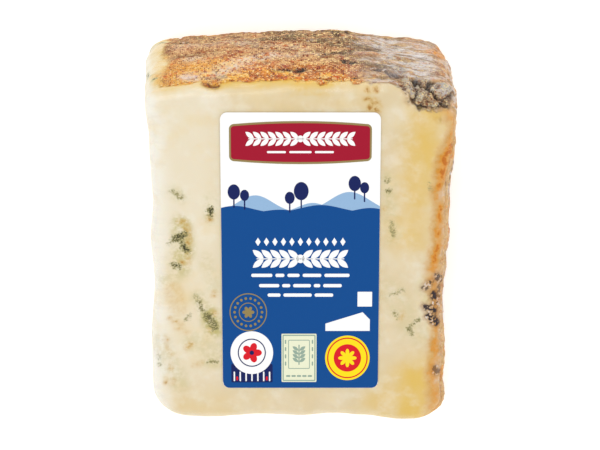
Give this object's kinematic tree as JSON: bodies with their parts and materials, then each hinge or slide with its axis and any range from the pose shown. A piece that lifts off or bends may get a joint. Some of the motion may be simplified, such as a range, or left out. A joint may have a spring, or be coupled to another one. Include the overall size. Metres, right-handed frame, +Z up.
{
  "type": "stilton wedge",
  "caption": "Wedge of blue-veined cheese in tight clear film: crusty rind at its thick end and along one side, blunt tip, and a printed label on its sloping cut face.",
  "frame": {"origin": "bottom centre of the bounding box, on the surface that the wedge lies on", "axes": "+X along the axis of the drum of cheese, from the plain cut to the end rind; +Y from the tip to the rind at the thick end; +Z up"},
  "size_m": [0.0768, 0.0982, 0.0522],
  "materials": {
    "cheese": "creamy cut paste with blue-green veins, and orange-brown to grey rind",
    "film": "thin clear shrink film, glossy, with a faint haze where it stands off the cheese",
    "label": "smooth coated self-adhesive label, printed in blue, white and dark red"
  },
  "bodies": {
    "root": {"wedge": "cheese", "label": "label"}
  },
  "joints": []
}
